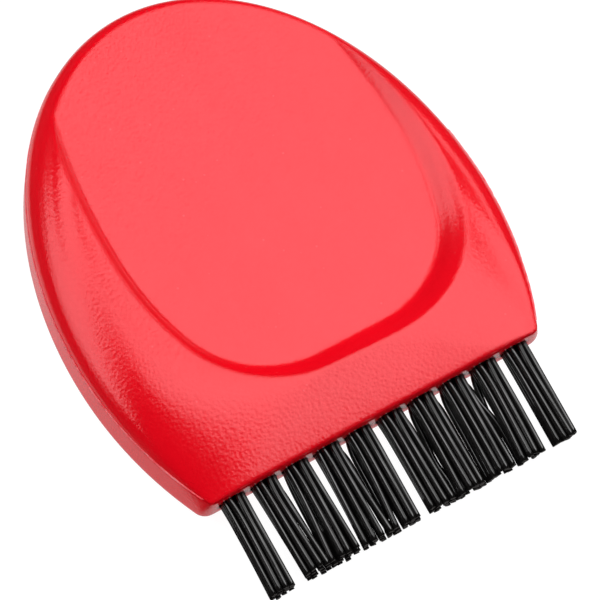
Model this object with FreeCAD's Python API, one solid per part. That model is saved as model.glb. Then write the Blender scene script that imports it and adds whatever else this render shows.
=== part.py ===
"""Club groove brush: a one-piece moulded palm handle with one row of stapled nylon tufts.

Millimetres. The brush lies on its back. +Z is the normal of the back face, out of the front;
+Y runs from the bristle end to the rounded top of the handle; +X runs along the row of tufts.
The origin is in the plane of the back face, under the middle of the overall box.
"""
import FreeCAD, Part
from math import cos, hypot, pi, radians, sin, sqrt, tan
import os

Vector = FreeCAD.Vector
X_AXIS, Y_AXIS, Z_AXIS = Vector(1, 0, 0), Vector(0, 1, 0), Vector(0, 0, 1)

# Handle, seen from the front. Heights along Y are measured from the front edge of the bristle end.
handle_height = 64.6
half_width = 28.9
widest_at = 23.2
flank_radius = 56.3
end_corner_radius = 1.2

# Handle, seen from the side.
parting_z = 6.9            # the mould's parting line, where the front and back halves meet
parting_ledge = 0.12       # the back half stands out past the front half by this much
back_flare = 0.4           # and a little further towards the back
back_edge_radius = 2.4
back_end_edge_radius = 1.0
back_edge_levels = 5
back_corner_growth = 0.12  # the bristle end's corners get this much rounder per millimetre towards the back
end_slant = 9.0            # degrees that the bristle end leans back, from its front edge down

# Crown: the domed front half. Each number is what the outline loses between the parting line and the top.
crown_rise = 4.7
crown_side_inset = 8.5
crown_top_inset = 6.5
crown_end_reach = 1.0      # its outline at the parting line runs on past the bristle end, which cuts it off
crown_end_inset = 8.4
crown_widest_shift = 8.0   # the widest place moves towards the top of the handle
crown_flank_radius = 37.0
crown_corner_radius = 18.0
crown_corner_growth = 0.5  # below 1 the crown's corners round off soon above the parting line
crown_end_curve = 1.2      # above 1 the slope down to the bristle end is convex; 1 would be flat
crown_tilt = 1.2           # degrees that the crown's top rises towards the handle's top
crown_tilt_axis_at = 30.0
crown_levels = 8

# Recess: a shallow oval thumb rest. Its floor is a plane that runs out through the rim at the top.
recess_floor_z = 9.8       # at the middle of the handle's width, recess_floor_at from the bristle end
recess_floor_at = 30.0
recess_floor_pitch = 1.6   # degrees, rising towards the top
recess_floor_roll = -1.9   # degrees, falling towards +X
recess_half_width = 20.15
recess_middle_x = 2.55
recess_widest_at = 33.0
recess_bottom_at = 10.4
recess_top_at = 76.0       # past the top of the handle, so that the recess runs out there
recess_flank_radius = 41.0
recess_corner_radius = 14.0
recess_wall_shift = 0.25   # the wall is this much wider on the +X side, and narrower on the -X side
# How far out and how high the wall is, from the floor's edge to well above the crown.
recess_wall_profile = ((0, 0), (0.35, 0.06), (1.0, 0.6), (1.7, 1.25), (2.4, 1.7), (5.5, 2.6), (9.0, 4.5))

# Tufts. Each is a bundle of filaments folded in a U round a flat wire anchor.
tuft_count = 10
tuft_pitch = 4.6
tuft_hole_diameter = 3.9
tuft_hole_depth = 8.6
tuft_axis_z = 4.15         # height of the row where it leaves the bristle end
tuft_slope = 9.0           # degrees that the tufts point towards the back, square to the bristle end
tuft_reach = 13.9          # from the bristle end to the trimmed tips
filament_diameter = 0.8
filament_gap = 0.02
inner_fold_half_width = 0.59
outer_fold_half_width = 1.3

# Anchors: short flat wire, longer than the hole is wide, so that its ends bite into the handle.
anchor_thickness = 0.36
anchor_width = 1.6
anchor_length = 4.3
anchor_slot_clearance = 0.01


def end_lean_at(z):
    """How far the bristle end lies behind its front edge at this height."""
    return (parting_z - z) * tan(radians(end_slant))


def egg_wire(z, width, top, widest, flank, end, corner):
    """Closed outline: an elliptic top, two long flank arcs and a straight end, with rounded corners."""
    middle_x = width - flank
    corner_y = end + corner
    corner_x = middle_x + sqrt((flank - corner) ** 2 - (widest - corner_y) ** 2)
    reach = hypot(corner_x - middle_x, widest - corner_y)
    stretch = flank / reach
    touch = Vector(middle_x + (corner_x - middle_x) * stretch, widest - (widest - corner_y) * stretch, z)
    half_angle = 0.5 * Vector(touch.x - corner_x, touch.y - corner_y, 0).getAngle(-Y_AXIS)
    corner_mid = Vector(corner_x + corner * sin(half_angle), corner_y - corner * cos(half_angle), z)
    flank_angle = 0.5 * abs((touch - Vector(middle_x, widest, z)).getAngle(X_AXIS))
    flank_mid = Vector(middle_x + flank * cos(flank_angle), widest - flank * sin(flank_angle), z)
    side = Vector(width, widest, z)
    foot = Vector(corner_x, end, z)

    def mirrored(point):
        return Vector(-point.x, point.y, point.z)

    oval = Part.Ellipse(Vector(0, top, z), side, Vector(0, widest, z))
    edges = [
        oval_quarter(oval, side, Vector(0, top, z)),
        oval_quarter(oval, Vector(0, top, z), mirrored(side)),
        Part.Arc(mirrored(side), mirrored(flank_mid), mirrored(touch)).toShape(),
        Part.Arc(mirrored(touch), mirrored(corner_mid), mirrored(foot)).toShape(),
        Part.LineSegment(mirrored(foot), foot).toShape(),
        Part.Arc(foot, corner_mid, touch).toShape(),
        Part.Arc(touch, flank_mid, side).toShape(),
    ]
    return Part.Wire(edges)


def oval_quarter(oval, start, finish):
    """The part of an ellipse between two of its points, the short way round."""
    first, last = oval.parameter(start), oval.parameter(finish)
    if (last - first) % (2 * pi) > pi:
        first, last = last, first
    return Part.Edge(oval, first, last if last > first else last + 2 * pi)


def back_outline(z, inset, end_inset):
    """Outline of the back half at one height, with its bristle end leaning back."""
    return egg_wire(
        z,
        half_width - inset,
        handle_height - inset,
        widest_at,
        flank_radius - inset,
        end_lean_at(z) + end_inset,
        end_corner_radius + back_corner_growth * (parting_z - z),
    )


def back_half():
    """The lower half: a plain flared wall, a leaning bristle end and a rounded edge round the flat back."""
    ledge = back_outline(parting_z, -parting_ledge, -parting_ledge)
    foot = back_outline(back_edge_radius, -back_flare, 0)
    wall = Part.makeLoft([ledge, foot], True, True)
    rounding = []
    for level in range(back_edge_levels):
        angle = pi / 2 * level / (back_edge_levels - 1)
        lost = 1 - cos(angle)
        rounding.append(
            back_outline(
                back_edge_radius * (1 - sin(angle)),
                back_edge_radius * lost - back_flare,
                back_end_edge_radius * lost,
            )
        )
    return wall.fuse(Part.makeLoft(rounding, True, False))


def crown():
    """The front half: sections that shrink along a quarter ellipse, and more evenly at the bristle end."""
    wires = []
    for level in range(crown_levels):
        angle = pi / 2 * level / (crown_levels - 1)
        rise, lost = sin(angle), 1 - cos(angle)
        wire = egg_wire(
            parting_z + crown_rise * rise,
            half_width - crown_side_inset * lost,
            handle_height - crown_top_inset * lost,
            widest_at + crown_widest_shift * lost,
            flank_radius + (crown_flank_radius - flank_radius) * lost,
            crown_end_inset * rise ** crown_end_curve - crown_end_reach,
            end_corner_radius + (crown_corner_radius - end_corner_radius) * rise ** crown_corner_growth,
        )
        wire.rotate(Vector(0, crown_tilt_axis_at, parting_z + crown_rise * rise), X_AXIS, crown_tilt * rise)
        wires.append(wire)
    return Part.makeLoft(wires, True, False)


def past_bristle_end():
    """The space in front of the bristle end, above the parting line, where the crown is cut off."""
    block = Part.makeBox(2 * half_width, crown_end_reach, crown_rise)
    block.translate(Vector(-half_width, -crown_end_reach, parting_z))
    return block


def recess_outline(out, up):
    """Outline of the recess, grown by out, at a height above its floor."""
    outline = egg_wire(
        up,
        recess_half_width + out,
        recess_top_at + out,
        recess_widest_at,
        recess_flank_radius + out,
        recess_bottom_at - out,
        recess_corner_radius + out,
    )
    outline.translate(Vector(recess_middle_x + recess_wall_shift * out, 0, 0))
    return outline


def recess_tool():
    """What is cut away for the thumb rest: an oval with a soft S-shaped wall, open towards the top."""
    tool = Part.makeLoft([recess_outline(out, up) for out, up in recess_wall_profile], True, False)
    pivot = Vector(0, recess_floor_at, 0)
    tool.rotate(pivot, X_AXIS, recess_floor_pitch)
    tool.rotate(pivot, Y_AXIS, -recess_floor_roll)
    tool.translate(Vector(0, 0, recess_floor_z))
    return tool


def tuft_placement(index):
    """Where a tuft's axis leaves the bristle end. Local +X points out along the tuft, local +Z up."""
    slope = radians(tuft_slope)
    outwards, upwards = Vector(0, -cos(slope), -sin(slope)), Vector(0, -sin(slope), cos(slope))
    x = (index - (tuft_count - 1) / 2) * tuft_pitch
    mouth = Vector(x, end_lean_at(tuft_axis_z), tuft_axis_z)
    return FreeCAD.Placement(mouth, FreeCAD.Rotation(outwards, X_AXIS, upwards, "XZY"))


def placed(shape, index):
    """A shape drawn in a tuft's own frame, moved to its place in the row."""
    shape.Placement = tuft_placement(index)
    return shape


def tuft_hole():
    """Blind hole, drawn a little past the bristle end so that it cuts clean through the surface."""
    overrun = 2.0
    depth = tuft_hole_depth + overrun
    hole = Part.makeCylinder(tuft_hole_diameter / 2, depth, Vector(-tuft_hole_depth, 0, 0), X_AXIS)
    grown = 2 * anchor_slot_clearance
    return hole.fuse(anchor_block(anchor_thickness + grown, anchor_width + grown, anchor_length + grown))


def fold_x():
    """Middle of the filaments' fold: the outermost fold just rests on the bottom of the hole."""
    return -tuft_hole_depth + outer_fold_half_width + filament_diameter / 2 + filament_gap


def anchor_block(thickness, width, length):
    """Flat wire lying across the hole, on edge inside the fold."""
    middle_x = fold_x() + anchor_width / 2 + filament_gap
    corner = Vector(middle_x - width / 2, -thickness / 2, -length / 2)
    return Part.makeBox(width, thickness, length, corner)


def filament(half_width_of_fold, z, reach):
    """One filament: out along one side, round the anchor and back out along the other side."""
    radius = filament_diameter / 2
    legs = [
        Part.makeCylinder(radius, reach - fold_x(), Vector(fold_x(), side * half_width_of_fold, z), X_AXIS)
        for side in (-1, 1)
    ]
    fold = Part.makeTorus(half_width_of_fold, radius, Vector(fold_x(), 0, z), Z_AXIS, -180, 180, 180)
    fold.rotate(Vector(fold_x(), 0, z), Z_AXIS, 90)
    return legs[0].fuse([fold, legs[1]]).removeSplitter().Solids[0]


def tuft():
    """Seven folded filaments: four inside, three round them."""
    pitch = filament_diameter + filament_gap
    folds = [(inner_fold_half_width, (row - 1.5) * pitch) for row in range(4)]
    folds += [(outer_fold_half_width, (row - 1) * pitch) for row in range(3)]
    return Part.makeCompound([filament(width, z, tuft_reach) for width, z in folds])


def handle():
    """One moulding: both halves, less the thumb recess and the tuft holes."""
    front = crown().cut(recess_tool()).cut(past_bristle_end())
    body = back_half().fuse(front)
    return body.cut([placed(tuft_hole(), index) for index in range(tuft_count)])


def main():
    nodes = {"handle": handle()}
    for index in range(tuft_count):
        anchor = anchor_block(anchor_thickness, anchor_width, anchor_length)
        nodes[f"tuft_{index + 1:02d}"] = placed(tuft(), index)
        nodes[f"anchor_{index + 1:02d}"] = placed(anchor, index)
    box = Part.makeCompound(list(nodes.values())).optimalBoundingBox()
    os.makedirs("parts", exist_ok=True)
    for name, shape in nodes.items():
        shape.translate(Vector(0, -box.Center.y, 0))
        shape.exportStep(f"parts/{name}.step")


main()
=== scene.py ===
"""Looks of the club groove brush. Metres, in the same frame as the CAD model."""

from math import cos, hypot, pi, radians, sin, sqrt

import bpy
import numpy as np
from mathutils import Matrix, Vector


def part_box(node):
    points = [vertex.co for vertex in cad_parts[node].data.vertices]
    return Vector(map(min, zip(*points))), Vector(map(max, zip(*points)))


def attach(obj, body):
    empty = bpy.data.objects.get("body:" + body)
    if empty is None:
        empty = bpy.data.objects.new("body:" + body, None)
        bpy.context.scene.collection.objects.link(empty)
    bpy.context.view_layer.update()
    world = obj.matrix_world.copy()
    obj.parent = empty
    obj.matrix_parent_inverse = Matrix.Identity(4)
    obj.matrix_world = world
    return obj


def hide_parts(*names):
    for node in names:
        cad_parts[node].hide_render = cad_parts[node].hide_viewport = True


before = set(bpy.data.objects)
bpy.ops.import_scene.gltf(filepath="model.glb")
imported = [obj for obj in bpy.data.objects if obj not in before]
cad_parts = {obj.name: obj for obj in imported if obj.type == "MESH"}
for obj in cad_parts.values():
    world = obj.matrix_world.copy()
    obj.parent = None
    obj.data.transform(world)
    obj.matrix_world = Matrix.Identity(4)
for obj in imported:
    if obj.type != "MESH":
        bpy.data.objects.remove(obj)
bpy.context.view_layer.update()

MM = 0.001

# Handle, the same values as in the CAD source.
handle_height = 64.6 * MM
half_width = 28.9 * MM
widest_at = 23.2 * MM
flank_radius = 56.3 * MM
end_corner_radius = 1.2 * MM
back_flare = 0.4 * MM
parting_z = 6.9 * MM
parting_ledge = 0.12 * MM

# Tufts, the same values as in the CAD source.
tuft_count = 10
tuft_slope = radians(9.0)
tuft_reach = 13.9 * MM
tuft_half_height = 1.63 * MM
fold_depth = 6.88 * MM
filament_diameter = 0.8 * MM
inner_fold_half_width = 0.59 * MM
outer_fold_half_width = 1.3 * MM
filament_pitch = 0.82 * MM
inner_folds = 4
outer_folds = 3

# Moulding flash: a thin uneven fin left along the parting line.
flash_reach = 0.13 * MM
flash_thickness = 0.10 * MM
flash_step = 0.35 * MM
flash_root = 0.05 * MM       # how far inside the outline the fin starts
least_reach = 0.25           # of flash_reach; the slow swell and the fast roughness come on top
swell_reach = 0.5
rough_reach = 0.35
swell_every = 9              # steps
nick_share = 0.03            # of the fin's length
nicked_reach = 0.1
worn_flash_from = 30.0 * MM  # above this the hand has worn most of it away
worn_flash_share = 0.25
end_flash_sink = 0.3 * MM    # along the bristle end it was trimmed flush, so it lies inside the body

# How the bristles have set in use.
common_lean = -1.1           # degrees towards -X
loose_length = 1.8 * MM      # past the hole, over which the filaments close up
early_share = 1.1            # of the back rows' stray at the tips, reached already at that length
inner_leg_out = 0.42 * MM    # sideways place of the folds' legs once they have closed up
outer_leg_out = 1.24 * MM
row_reach = 1.23 * MM        # from the tuft's middle to the middle of its highest and lowest rows
closed_height = 0.98         # of the rows' spacing in the hole
tip_height = 1.02
full_stray_depth = 1.2 * MM  # rows this far below the tuft's middle stray fully
inner_stray = 0.6            # the inner folds' legs stray less
root_scatter = 0.05 * MM
tip_scatter = 0.16 * MM
upward_scatter = 0.6         # share of the tips' scatter that is left along the height
length_scatter = 0.13 * MM
bending = (0.8, 2.0)         # 1 for a straight leg, above 1 for one that bends late
settling_rounds = 4
settling_gap = 1.005         # least distance between filaments, in diameters
final_gap = 1.003

# Shape of a filament.
cut_end_width = 0.97         # of the diameter, where the cutter has broken the edge
cut_slope_scatter = 0.10
sides_of_filament = 14
stations_along = 18
stations_round_fold = 9

# Camera. It is far off, so that there is hardly any perspective.
view_azimuth = radians(-30.5)
view_elevation = radians(65.0)
camera_target = Vector((1.57, -4.43, 1.04)) * MM
view_width = 76.39 * MM
lens = 1000.0
sensor = 36.0

light_height = 1.2
floor_half_width = 3.0
floor_drop = 0.02 * MM       # under the brush's back
card_drop = 0.04 * MM        # under the floor's surface, which reflections pass through
card_margin = 10.0 * MM


# ---------------------------------------------------------------- node helpers

class Nodes:
    """A new material and short ways to add and join its nodes."""

    def __init__(self, name):
        self.material = bpy.data.materials.new(name)
        self.material.use_nodes = True
        self.tree = self.material.node_tree
        self.shader = self.tree.nodes["Principled BSDF"]

    def add(self, kind, **settings):
        node = self.tree.nodes.new("ShaderNode" + kind)
        for key, value in settings.items():
            if key in node.inputs:
                node.inputs[key].default_value = value
            else:
                setattr(node, key, value)
        return node

    def join(self, source, output, target, entry):
        self.tree.links.new(source.outputs[output], target.inputs[entry])

    def coordinates(self, kind="Object", scale=(1, 1, 1)):
        place = self.add("TexCoord")
        mapping = self.add("Mapping")
        mapping.inputs["Scale"].default_value = scale
        self.join(place, kind, mapping, "Vector")
        return mapping

    def noise(self, where, scale, detail=2.0, roughness=0.5):
        node = self.add("TexNoise", Scale=scale, Detail=detail, Roughness=roughness)
        self.join(where, "Vector", node, "Vector")
        return node

    def ramp(self, source, output, stops):
        node = self.add("ValToRGB")
        elements = node.color_ramp.elements
        while len(elements) < len(stops):
            elements.new(0.5)
        for element, (position, colour) in zip(elements, stops):
            element.position = position
            element.color = (*colour, 1.0)
        self.join(source, output, node, "Fac")
        return node

    def blend(self, factor, first, second, mode="MIX"):
        """Mixes two colours, each (node, output) or plain. Factor is (node, output) or a number."""
        node = self.add("Mix", data_type="RGBA", blend_type=mode)
        for value, entry in ((factor, 0), (first, 6), (second, 7)):
            if isinstance(value, tuple) and isinstance(value[0], bpy.types.Node):
                self.tree.links.new(value[0].outputs[value[1]], node.inputs[entry])
            elif entry:
                node.inputs[entry].default_value = (*value, 1.0)
            else:
                node.inputs[entry].default_value = value
        return node

    def number(self, operation, first, second):
        node = self.add("Math", operation=operation)
        for value, entry in ((first, 0), (second, 1)):
            if isinstance(value, tuple):
                self.tree.links.new(value[0].outputs[value[1]], node.inputs[entry])
            else:
                node.inputs[entry].default_value = value
        return node

    def range(self, value, low, high, to_low, to_high):
        node = self.add("MapRange")
        self.tree.links.new(value[0].outputs[value[1]], node.inputs["Value"])
        for entry, number in zip(("From Min", "From Max", "To Min", "To Max"), (low, high, to_low, to_high)):
            node.inputs[entry].default_value = number
        return node

    def bump(self, height, distance, over=None):
        node = self.add("Bump", Distance=distance, Strength=1.0)
        self.tree.links.new(height[0].outputs[height[1]], node.inputs["Height"])
        if over is not None:
            self.join(over, "Normal", node, "Normal")
        return node


# ---------------------------------------------------------------- materials

def moulded_plastic():
    """Red polypropylene from a spark-eroded mould: fine grain, soft waves, faint flow marks and specks."""
    m = Nodes("moulded_red_plastic")
    where = m.coordinates()
    tone = m.noise(where, 45, 4, 0.6)
    flow = m.noise(m.coordinates(scale=(1, 0.25, 1)), 160, 3, 0.6)
    grain = m.noise(where, 2500, 3, 0.65)
    pits = m.add("TexVoronoi", feature="SMOOTH_F1", Scale=2200.0, Smoothness=0.6)
    m.join(where, "Vector", pits, "Vector")
    waves = m.noise(where, 210, 2, 0.5)
    specks = m.add("TexVoronoi", feature="F1", Scale=420.0, Randomness=1.0)
    m.join(where, "Vector", specks, "Vector")

    red = m.ramp(tone, "Fac", ((0.30, (0.75, 0.0012, 0.0080)), (0.70, (0.83, 0.0022, 0.0110))))
    grain_tint = m.ramp(grain, "Fac", ((0.30, (0.95, 0.95, 0.95)), (0.62, (1.0, 1.0, 1.0))))
    red = m.blend(1.0, (red, "Color"), (grain_tint, "Color"), "MULTIPLY")
    speck_mask = m.range((specks, "Distance"), 0.03, 0.08, 0.3, 0.0)
    red = m.blend((speck_mask, "Result"), (red, 2), (0.80, 0.060, 0.075))
    m.tree.links.new(red.outputs[2], m.shader.inputs["Base Color"])

    rough = m.range((flow, "Fac"), 0.3, 0.7, 0.14, 0.18)
    rough = m.number("ADD", (rough, "Result"), (m.range((grain, "Fac"), 0.3, 0.7, -0.02, 0.03), "Result"))
    m.join(rough, "Value", m.shader, "Roughness")

    texture = m.number("ADD", (grain, "Fac"), (m.range((pits, "Distance"), 0.0, 0.7, 0.0, 0.8), "Result"))
    soft_edges = m.add("Bevel", samples=8, Radius=0.0009)
    normal = m.bump((waves, "Fac"), 0.000008, over=soft_edges)
    normal = m.bump((texture, "Value"), 0.000013, over=normal)
    m.join(normal, "Normal", m.shader, "Normal")
    m.shader.inputs["IOR"].default_value = 1.49
    m.join(m.range((grain, "Fac"), 0.3, 0.7, 0.94, 1.24), "Result", m.shader, "Specular IOR Level")
    m.shader.inputs["Specular Tint"].default_value = (1.0, 0.45, 0.48, 1.0)
    return m.material


def flash_plastic():
    """The thin fin lets light through and catches light on its edge; both are painted into its base colour
    as a painted highlight, paler than the moulding.
    """
    m = Nodes("flash_plastic")
    where = m.coordinates()
    patch = m.noise(where, 900, 3, 0.6)
    # painted highlight: a pale pink base colour stands for light through the thin fin and on its edge
    painted_highlight = m.ramp(patch, "Fac", ((0.35, (0.90, 0.060, 0.080)), (0.65, (0.92, 0.24, 0.26))))
    m.join(painted_highlight, "Color", m.shader, "Base Color")
    m.join(m.range((patch, "Fac"), 0.3, 0.7, 0.35, 0.55), "Result", m.shader, "Roughness")
    m.join(m.bump((patch, "Fac"), 0.00002), "Normal", m.shader, "Normal")
    m.shader.inputs["Specular Tint"].default_value = (1.0, 0.45, 0.48, 1.0)
    return m.material


def bristle_nylon():
    """Black extruded nylon: die lines along each filament, slightly uneven gloss."""
    m = Nodes("bristle_nylon_black")
    along = m.coordinates("UV", (10, 0.06, 1))
    lines = m.noise(along, 3.0, 4, 0.6)
    patches = m.noise(m.coordinates(), 650, 3, 0.6)
    colour = m.ramp(lines, "Fac", ((0.35, (0.0035, 0.0032, 0.0032)), (0.70, (0.010, 0.009, 0.0085))))
    m.join(colour, "Color", m.shader, "Base Color")
    gloss = m.range((lines, "Fac"), 0.3, 0.7, 0.08, 0.15)
    gloss = m.number("ADD", (gloss, "Result"), (m.range((patches, "Fac"), 0.3, 0.7, 0.0, 0.05), "Result"))
    m.join(gloss, "Value", m.shader, "Roughness")
    normal = m.bump((lines, "Fac"), 0.000008)
    m.join(m.bump((patches, "Fac"), 0.000002, over=normal), "Normal", m.shader, "Normal")
    m.shader.inputs["IOR"].default_value = 1.53
    streaks = m.noise(along, 1.6, 2, 0.5)
    m.join(m.range((streaks, "Fac"), 0.46, 0.66, 0.22, 1.15), "Result", m.shader, "Specular IOR Level")
    return m.material


def cut_nylon():
    """Sheared end of a filament: duller and a little paler than its side."""
    m = Nodes("cut_nylon")
    where = m.coordinates()
    tears = m.noise(where, 4200, 4, 0.7)
    colour = m.ramp(tears, "Fac", ((0.3, (0.020, 0.018, 0.018)), (0.7, (0.090, 0.082, 0.078))))
    m.join(colour, "Color", m.shader, "Base Color")
    m.join(m.range((tears, "Fac"), 0.3, 0.7, 0.45, 0.7), "Result", m.shader, "Roughness")
    m.join(m.bump((tears, "Fac"), 0.00005), "Normal", m.shader, "Normal")
    return m.material


def wire_steel():
    """Drawn flat steel wire with lengthwise scratches and stained patches."""
    m = Nodes("anchor_steel")
    scratches = m.noise(m.coordinates(scale=(1, 1, 0.03)), 9000, 3, 0.6)
    stain = m.noise(m.coordinates(), 700, 3, 0.6)
    colour = m.ramp(stain, "Fac", ((0.35, (0.42, 0.40, 0.37)), (0.65, (0.60, 0.60, 0.60))))
    m.join(colour, "Color", m.shader, "Base Color")
    m.shader.inputs["Metallic"].default_value = 1.0
    m.join(m.range((scratches, "Fac"), 0.3, 0.7, 0.25, 0.5), "Result", m.shader, "Roughness")
    m.join(m.bump((scratches, "Fac"), 0.00001), "Normal", m.shader, "Normal")
    return m.material


def floor_material():
    """Plain matt white table."""
    m = Nodes("floor_white")
    grain = m.noise(m.coordinates(), 60, 3, 0.5)
    colour = m.ramp(grain, "Fac", ((0.3, (0.09, 0.09, 0.09)), (0.7, (0.11, 0.11, 0.11))))
    m.join(colour, "Color", m.shader, "Base Color")
    m.shader.inputs["Roughness"].default_value = 0.9
    m.shader.inputs["Emission Color"].default_value = (1.0, 1.0, 1.0, 1.0)
    m.shader.inputs["Emission Strength"].default_value = 0.97
    return m.material


def card_material():
    """Pale card, about half as bright as the table."""
    m = Nodes("card_white")
    grain = m.noise(m.coordinates(), 300, 3, 0.5)
    colour = m.ramp(grain, "Fac", ((0.3, (0.40, 0.40, 0.40)), (0.7, (0.44, 0.44, 0.44))))
    m.join(colour, "Color", m.shader, "Base Color")
    m.shader.inputs["Roughness"].default_value = 0.9
    m.shader.inputs["Emission Color"].default_value = (1.0, 1.0, 1.0, 1.0)
    m.shader.inputs["Emission Strength"].default_value = 0.1
    return m.material


# ---------------------------------------------------------------- handle

def outline_points(step):
    """Points along the parting line, counterclockwise from the handle's widest place on the +X side."""
    top_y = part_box("handle")[1].y - back_flare
    end_y = top_y - handle_height
    widest_y = end_y + widest_at
    middle_x = half_width - flank_radius
    corner_y = end_y + end_corner_radius
    corner_x = middle_x + sqrt((flank_radius - end_corner_radius) ** 2 - (widest_y - corner_y) ** 2)
    spread = hypot(corner_x - middle_x, widest_y - corner_y)
    touch_angle = np.arcsin((widest_y - corner_y) / spread)

    oval_points, flank_points, corner_points, end_points = 400, 160, 16, 200
    oval = [
        (half_width * cos(t), widest_y + (top_y - widest_y) * sin(t))
        for t in np.linspace(0, pi, oval_points)
    ]
    flank = [
        (middle_x + flank_radius * cos(t), widest_y - flank_radius * sin(t))
        for t in np.linspace(touch_angle, 0, flank_points)
    ]
    corner = [
        (corner_x + end_corner_radius * cos(t), corner_y + end_corner_radius * sin(t))
        for t in np.linspace(-pi / 2, -touch_angle, corner_points)
    ]
    end = [(x, end_y) for x in np.linspace(-corner_x, corner_x, end_points)[1:-1]]
    right = corner + flank
    left = [(-x, y) for x, y in reversed(right)]
    loop = np.array(oval + left + end + right)
    lengths = np.r_[0, np.cumsum(np.hypot(*np.diff(loop, axis=0).T))]
    count = int(lengths[-1] / step)
    places = np.arange(count) * lengths[-1] / count
    return np.c_[np.interp(places, lengths, loop[:, 0]), np.interp(places, lengths, loop[:, 1])]


def parting_flash():
    """Closed ridge of triangular section along the parting line, uneven and nicked here and there."""
    points = outline_points(flash_step)
    count = len(points)
    tangent = np.roll(points, -1, axis=0) - np.roll(points, 1, axis=0)
    tangent /= np.linalg.norm(tangent, axis=1)[:, None]
    outwards = np.c_[tangent[:, 1], -tangent[:, 0]]
    random = np.random.default_rng(7)
    rough = random.random(count)
    swell_places = np.arange(0, count + swell_every, swell_every)
    swell = np.interp(np.arange(count), swell_places, random.random(count // swell_every + 2))[:count]
    reach = flash_reach * (least_reach + swell_reach * swell + rough_reach * rough * swell)
    nicks = random.random(count) < nick_share
    reach[nicks] *= nicked_reach
    along = points[:, 1] - points[:, 1].min()
    reach[along > worn_flash_from] *= worn_flash_share
    sunk = np.where(along < end_corner_radius, end_flash_sink, 0.0)
    vertices, faces = [], []
    lower_edge = ((parting_ledge, -0.5), (-flash_root, -0.5))
    upper_edge = ((-flash_root, 0.5), (parting_ledge, 0.5))
    section = (*upper_edge, (None, 0.0), *lower_edge)
    for index in range(count):
        for out, level in section:
            distance = (parting_ledge + reach[index] if out is None else out) - sunk[index]
            x, y = points[index] + outwards[index] * distance
            vertices.append((x, y, parting_z + level * flash_thickness))
    width = len(section)
    for index in range(count):
        here, following = index * width, (index + 1) % count * width
        for side in range(width):
            other = (side + 1) % width
            faces.append((here + side, following + side, following + other, here + other))
    return new_piece("handle_parting_flash", vertices, faces, [flash_plastic()])


def new_piece(name, vertices, faces, materials, cap_faces=(), uv=None):
    """Smooth mesh object. The cap faces are flat and take the second material."""
    mesh = bpy.data.meshes.new(name)
    mesh.from_pydata([tuple(v) for v in vertices], [], faces)
    for material in materials:
        mesh.materials.append(material)
    mesh.polygons.foreach_set("use_smooth", [True] * len(faces))
    for face in cap_faces:
        mesh.polygons[face].material_index = 1
        mesh.polygons[face].use_smooth = False
    if uv is not None:
        layer = mesh.uv_layers.new(name="along")
        for loop in mesh.loops:
            layer.data[loop.index].uv = uv[loop.vertex_index]
    mesh.validate()
    mesh.update()
    piece = bpy.data.objects.new(name, mesh)
    bpy.context.scene.collection.objects.link(piece)
    return piece


# ---------------------------------------------------------------- bristles

def leg_places():
    """Where a tuft's legs lie across the hole, as (fold number, side, x, height)."""
    places = []
    for row in range(inner_folds):
        height = (row - (inner_folds - 1) / 2) * filament_pitch
        places += [(row, side, side * inner_fold_half_width, height) for side in (-1, 1)]
    for row in range(outer_folds):
        height = (row - (outer_folds - 1) / 2) * filament_pitch
        places += [(inner_folds + row, side, side * outer_fold_half_width, height) for side in (-1, 1)]
    return places


def push_apart(places, least, rounds):
    """Moves points of a cross-section apart until no two are nearer than a filament is thick."""
    places = places.copy()
    for _ in range(rounds):
        offset = places[:, None, :] - places[None, :, :]
        distance = np.linalg.norm(offset, axis=2) + np.eye(len(places))
        overlap = np.clip(least - distance, 0, None)
        np.fill_diagonal(overlap, 0)
        places += 0.5 * (offset / distance[:, :, None] * overlap[:, :, None]).sum(axis=1)
    return places


# Each tuft as it has set: sideways shift of its tips, how much the legs on each side spread, how far its
# back rows stray to each side, and how much its front and back rows are worn. Lengths are in millimetres.
tuft_set = (
    dict(shift=-0.10, left=1.05, right=0.95, low_left=0.0, low_right=0.0, front_short=0.10, back_short=0.0),
    dict(shift=0.25, left=0.90, right=1.45, low_left=0.0, low_right=0.5, front_short=0.35, back_short=0.0),
    dict(shift=0.0, left=1.55, right=1.30, low_left=0.3, low_right=0.0, front_short=0.35, back_short=0.0),
    dict(shift=-0.12, left=1.25, right=1.60, low_left=0.0, low_right=0.9, front_short=0.15, back_short=0.0),
    dict(shift=-0.05, left=1.45, right=1.05, low_left=0.8, low_right=0.0, front_short=0.15, back_short=0.0),
    dict(shift=0.05, left=1.00, right=1.20, low_left=0.0, low_right=1.3, front_short=0.10, back_short=0.1),
    dict(shift=0.0, left=1.15, right=1.15, low_left=1.3, low_right=1.3, front_short=0.10, back_short=0.15),
    dict(shift=0.0, left=1.15, right=1.15, low_left=1.3, low_right=1.3, front_short=0.10, back_short=0.2),
    dict(shift=-0.05, left=1.15, right=1.00, low_left=1.3, low_right=0.0, front_short=0.05, back_short=0.3),
    dict(shift=0.10, left=1.00, right=1.00, low_left=0.0, low_right=0.0, front_short=0.0, back_short=0.4),
)


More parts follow.
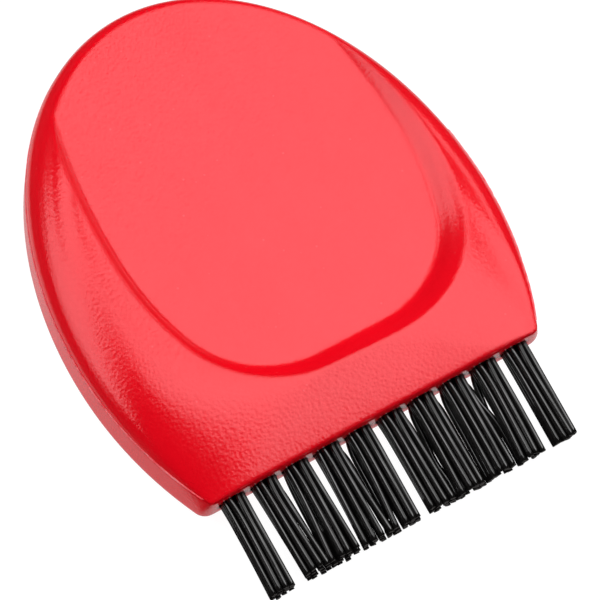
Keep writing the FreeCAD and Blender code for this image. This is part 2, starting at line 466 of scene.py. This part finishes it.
def bristle_courses():
    """Sideways place and height of every leg at each station outside the hole, and each leg's reach."""
    random = np.random.default_rng(21)
    places = leg_places()
    per_tuft = len(places)
    root = np.zeros((tuft_count * per_tuft, 2))
    closed = np.zeros_like(root)
    tip = np.zeros_like(root)
    reach = np.zeros(len(root))
    lean = tuft_reach * np.tan(radians(common_lean))
    for index in range(tuft_count):
        lo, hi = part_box(f"tuft_{index + 1:02d}")
        middle = (lo.x + hi.x) / 2
        way = tuft_set[index]
        for leg, (fold, side, x, height) in enumerate(places):
            row = index * per_tuft + leg
            root[row] = (middle + x, height)
            packed_x = side * (inner_leg_out if fold < inner_folds else outer_leg_out)
            jitter = random.normal(0, root_scatter, 2)
            spread = way["right"] if side > 0 else way["left"]
            low = way["low_right"] if side > 0 else way["low_left"]
            lowness = np.clip(-height / full_stray_depth, 0, 1)
            fold_stray = inner_stray if fold < inner_folds else 1.0
            stray = side * low * lowness * fold_stray * MM
            closed[row] = (
                middle + packed_x + stray * early_share + jitter[0],
                height * closed_height + jitter[1],
            )
            swing = random.normal(0, tip_scatter, 2)
            tip[row] = (
                middle + packed_x * spread + stray + way["shift"] * MM + lean + swing[0],
                height * tip_height + upward_scatter * swing[1],
            )
            frontness = (height / row_reach + 1) / 2
            worn = way["front_short"] * frontness + way["back_short"] * (1 - frontness)
            reach[row] = tuft_reach - worn * MM - abs(random.normal(0, length_scatter))
    curl = random.uniform(*bending, len(root))
    courses = []
    for station in range(stations_along):
        share = station / (stations_along - 1)
        closing = min(1.0, share * tuft_reach / loose_length)
        closing = closing * closing * (3 - 2 * closing)
        place = root + (closed - root) * closing + (tip - closed) * (share ** curl)[:, None]
        courses.append(place)
    courses = np.array(courses)
    for _ in range(settling_rounds):
        for station in range(1, stations_along):
            courses[station] = push_apart(courses[station], filament_diameter * settling_gap, rounds=30)
        courses[1:-1] = (courses[:-2] + 2 * courses[1:-1] + courses[2:]) / 4
    for station in range(1, stations_along):
        courses[station] = push_apart(courses[station], filament_diameter * final_gap, rounds=12)
    return courses, reach


def tube(path, radius, random, start):
    """Vertices, faces and (round, along) pairs of one filament. The last two faces are its cut ends."""
    path = np.array(path)
    tangent = np.gradient(path, axis=0)
    tangent /= np.linalg.norm(tangent, axis=1)[:, None]
    across = np.cross(tangent[0], (0, 0, 1.0))
    vertices, uv = [], []
    travelled = np.r_[0, np.cumsum(np.linalg.norm(np.diff(path, axis=0), axis=1))]
    slopes = random.normal(0, cut_slope_scatter, (2, 2))
    last = len(path) - 1
    for index, (point, direction) in enumerate(zip(path, tangent)):
        across = across - direction * np.dot(across, direction)
        across /= np.linalg.norm(across)
        up = np.cross(direction, across)
        for side in range(sides_of_filament):
            angle = 2 * pi * side / sides_of_filament
            offset = (across * cos(angle) + up * sin(angle)) * radius
            if index in (0, last):
                tilt = slopes[0 if index == 0 else 1]
                inwards = direction * (1 if index == 0 else -1)
                depth = abs(tilt[0] * (1 + cos(angle)) + tilt[1] * (1 + sin(angle)))
                offset = offset * cut_end_width + inwards * radius * depth
            vertices.append(point + offset)
            uv.append((side / sides_of_filament, travelled[index] / MM))
    faces = []
    for index in range(last):
        for side in range(sides_of_filament):
            other = (side + 1) % sides_of_filament
            low, high = start + index * sides_of_filament, start + (index + 1) * sides_of_filament
            faces.append((low + side, low + other, high + other, high + side))
    first = start + np.arange(sides_of_filament)
    faces.append(tuple(int(v) for v in first[::-1]))
    faces.append(tuple(int(v) for v in first + last * sides_of_filament))
    return vertices, faces, uv


def bristle_tuft(index, courses, reach, nylon, cut):
    """One tuft of folded filaments as a single piece."""
    lo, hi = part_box(f"tuft_{index + 1:02d}")
    outwards = np.array((0, -cos(tuft_slope), -sin(tuft_slope)))
    upwards = np.array((0, -sin(tuft_slope), cos(tuft_slope)))
    sideways = np.array((1.0, 0, 0))
    mouth_y = lo.y + tuft_reach * cos(tuft_slope) + tuft_half_height * sin(tuft_slope)
    mouth_z = lo.z + tuft_reach * sin(tuft_slope) + tuft_half_height * cos(tuft_slope)
    mouth = np.array((0, mouth_y, mouth_z))
    middle = (lo.x + hi.x) / 2
    places = leg_places()
    random = np.random.default_rng(100 + index)
    legs = {}
    for leg, (fold, side, x, height) in enumerate(places):
        row = index * len(places) + leg
        run = []
        for station in range(stations_along):
            share = station / (stations_along - 1)
            across, level = courses[station, row]
            run.append(mouth + sideways * across + upwards * level + outwards * share * reach[row])
        legs[fold, side] = (run, x, height)
    vertices, faces, uv, caps = [], [], [], []
    for fold in range(inner_folds + outer_folds):
        left_run, left_x, height = legs[fold, -1]
        right_run, right_x, _ = legs[fold, 1]
        bend = [
            mouth
            + sideways * (middle + left_x * cos(angle))
            + upwards * height
            - outwards * (fold_depth + right_x * sin(angle))
            for angle in np.linspace(0, pi, stations_round_fold)
        ]
        path = left_run[::-1] + bend + right_run
        more, more_faces, more_uv = tube(path, filament_diameter / 2, random, len(vertices))
        vertices += more
        faces += more_faces
        uv += more_uv
        caps += [len(faces) - 2, len(faces) - 1]
    name = f"bristles_{index + 1:02d}"
    return new_piece(name, vertices, faces, [nylon, cut], caps, uv)


# ---------------------------------------------------------------- stage, lights and camera

def floor():
    """The table. It isn't reflected: the sheen low on the moulding comes from the white card alone."""
    half = floor_half_width
    corners = [(-half, -half, 0), (half, -half, 0), (half, half, 0), (-half, half, 0)]
    piece = new_piece("floor", corners, [(0, 1, 2, 3)], [floor_material()])
    piece.location.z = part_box("handle")[0].z - floor_drop
    piece.visible_glossy = False
    return piece


def white_card():
    """Oval card close round the brush, just under the table's surface, so that only reflections show it."""
    lo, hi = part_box("handle")
    half_x = hi.x + card_margin
    half_y = (hi.y - lo.y) / 2 + card_margin
    middle_y = (lo.y + hi.y) / 2
    corners_round = 64
    angles = [2 * pi * step / corners_round for step in range(corners_round)]
    outline = [(half_x * cos(angle), middle_y + half_y * sin(angle), 0) for angle in angles]
    piece = new_piece("white_card", outline, [tuple(range(corners_round))], [card_material()])
    piece.location.z = lo.z - card_drop
    return piece


def softbox(name, radiance, middle, size, turn, glossy=True):
    """Rectangular area light that faces straight down from light_height, turned about the vertical.

    Middle and size are in units of light_height. Radiance is what a white surface facing the light
    all round would reflect.
    """
    lamp = bpy.data.lights.new(name, "AREA")
    lamp.shape = "RECTANGLE"
    lamp.size, lamp.size_y = size[0] * light_height, size[1] * light_height
    lamp.energy = radiance * lamp.size * lamp.size_y * pi
    piece = bpy.data.objects.new(name, lamp)
    piece.location = middle[0] * light_height, middle[1] * light_height, light_height
    piece.rotation_euler = (0.0, 0.0, turn)
    piece.visible_camera = False
    piece.visible_glossy = glossy
    bpy.context.scene.collection.objects.link(piece)
    return piece


def lights():
    softbox("overhead_softbox", 2.85, (0.487, -0.338), (0.81, 1.64), radians(26.6))
    softbox("right_softbox", 2.5, (1.62, -0.11), (1.55, 0.98), 0.0)
    softbox("right_softbox_end", 1.7, (4.0, 0.7), (3.2, 3.8), 0.0)
    softbox("left_softbox", 2.7, (-1.05, 0.53), (2.20, 0.38), 0.0)
    softbox("left_softbox_middle", 2.5, (-1.51, 0.935), (1.78, 0.43), 0.0)
    softbox("left_softbox_far", 2.4, (-1.72, 1.425), (1.35, 0.55), 0.0)
    softbox("left_softbox_end", 1.6, (-3.7, 2.1), (2.6, 2.2), 0.0)
    softbox("back_left_fill", 3.8, (-1.5, 1.3), (1.6, 1.6), 0.0, glossy=False)
    softbox("back_right_fill", 2.5, (1.5, 1.2), (1.2, 1.2), 0.0, glossy=False)
    world = bpy.data.worlds.new("studio")
    world.use_nodes = True
    world.node_tree.nodes["Background"].inputs["Color"].default_value = (0.02, 0.02, 0.02, 1.0)
    bpy.context.scene.world = world


def camera():
    data = bpy.data.cameras.new("camera")
    data.lens = lens
    data.sensor_width = sensor
    data.clip_start, data.clip_end = 0.1, 20.0
    piece = bpy.data.objects.new("camera", data)
    back = Vector((
        sin(view_azimuth) * cos(view_elevation),
        -cos(view_azimuth) * cos(view_elevation),
        sin(view_elevation),
    ))
    piece.location = camera_target + back * (view_width * lens / sensor)
    piece.rotation_mode = "QUATERNION"
    piece.rotation_quaternion = (-back).to_track_quat("-Z", "Y")
    bpy.context.scene.collection.objects.link(piece)
    bpy.context.scene.camera = piece


def main():
    plastic, nylon, cut, steel = moulded_plastic(), bristle_nylon(), cut_nylon(), wire_steel()
    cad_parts["handle"].material_slots[0].material = plastic
    for index in range(tuft_count):
        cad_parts[f"anchor_{index + 1:02d}"].material_slots[0].material = steel
    flash = parting_flash()
    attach(flash, "root")
    courses, reach = bristle_courses()
    for index in range(tuft_count):
        piece = bristle_tuft(index, courses, reach, nylon, cut)
        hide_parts(f"tuft_{index + 1:02d}")
        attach(piece, "root")
    floor()
    white_card()
    lights()
    camera()
    bpy.context.scene.view_settings.view_transform = "Standard"


main()
